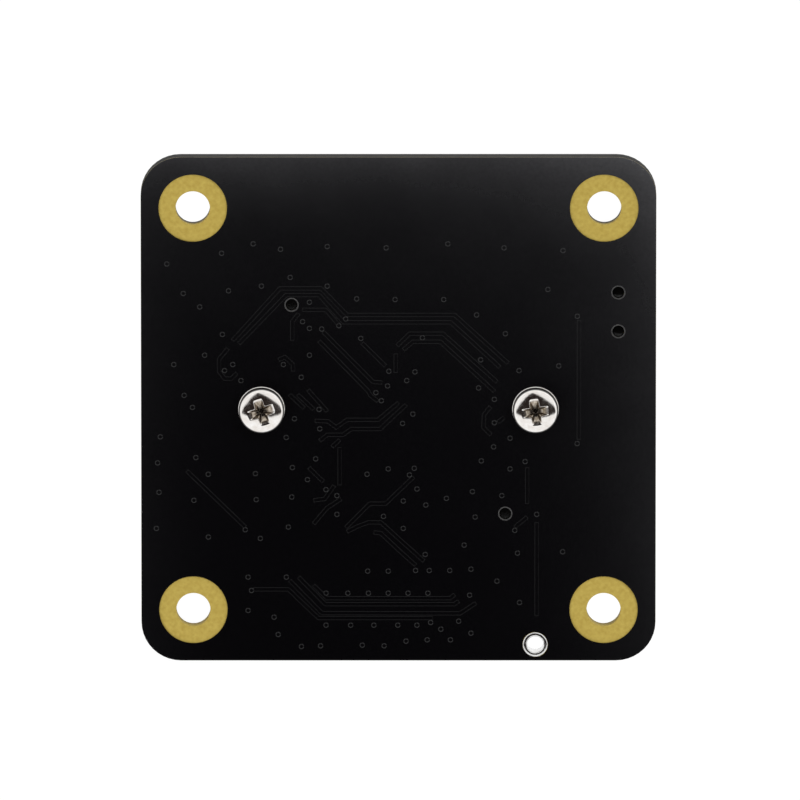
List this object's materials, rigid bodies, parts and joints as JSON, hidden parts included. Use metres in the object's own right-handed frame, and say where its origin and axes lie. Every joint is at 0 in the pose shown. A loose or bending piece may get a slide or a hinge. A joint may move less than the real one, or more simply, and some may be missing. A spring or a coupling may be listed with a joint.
{
  "type": "camera module",
  "caption": "Square black circuit-board camera with a screwed-in M12 lens in a holder on its front, corner mounting holes in bare rings and a side-entry wire connector.",
  "frame": {"origin": "centre of the lens's front rim, on the lens axis, which is the bottom centre of the whole", "axes": "+Z from the lens towards the board's back, +X to the right and +Y to the top edge as the board's back is read"},
  "size_m": [0.0376, 0.0376, 0.0229],
  "materials": {
    "board_black": "satin black solder mask over laminate",
    "tinned_copper": "bright tin over copper",
    "screw_nickel": "bright nickel plate",
    "holder_plastic": "black glass-filled nylon, fine moulded grain",
    "lens_metal": "turned, black anodised",
    "inner_black": "dead black, for stray light",
    "coated_glass": "polished, with a violet-green anti-reflection coating",
    "filter_glass": "polished, cyan tint",
    "clear_glass": "polished",
    "package_ceramic": "matt dark alumina",
    "silicon": "polished silicon with an iridescent sheen",
    "chip_resin": "moulded epoxy, fine matt grain",
    "lead_tin": "matt tin plate",
    "crystal_ceramic": "matt alumina",
    "crystal_metal": "satin nickel-iron lid",
    "ferrite": "matt dark grey ferrite",
    "copper_wire": "enamelled copper",
    "tantalum_resin": "moulded yellow epoxy",
    "capacitor_ceramic": "tan ceramic with tinned ends",
    "resistor_glaze": "black glaze on white alumina with tinned ends",
    "led_resin": "clear resin on a pale base",
    "connector_plastic": "black nylon",
    "contact_metal": "thin gold flash on bronze"
  },
  "bodies": {
    "root": {"circuit_board": "board_black", "plated_hole": "tinned_copper", "holder_screws": "screw_nickel", "lens_holder": "holder_plastic", "lens_barrel": "lens_metal", "lock_ring": "lens_metal", "retaining_ring": "lens_metal", "front_spacer": "inner_black", "aperture_stop": "inner_black", "rear_spacer": "inner_black", "front_element": "coated_glass", "second_element": "coated_glass", "doublet_crown": "coated_glass", "doublet_flint": "coated_glass", "rear_element": "coated_glass", "ir_filter": "filter_glass", "sensor_cover_glass": "clear_glass", "image_sensor": "package_ceramic", "sensor_die": "silicon", "video_controller": "chip_resin", "flash_memory": "chip_resin", "regulators": "chip_resin", "esd_array": "chip_resin", "flash_leads": "lead_tin", "regulator_leads": "lead_tin", "connector_tabs": "lead_tin", "crystal_base": "crystal_ceramic", "crystal_lid": "crystal_metal", "inductor_shield": "ferrite", "inductor_drum": "ferrite", "ferrite_beads": "ferrite", "inductor_winding": "copper_wire", "bulk_capacitors": "tantalum_resin", "ceramic_capacitors": "capacitor_ceramic", "chip_resistors": "resistor_glaze", "status_led": "led_resin", "connector_housing": "connector_plastic", "connector_contacts": "contact_metal"}
  },
  "joints": []
}
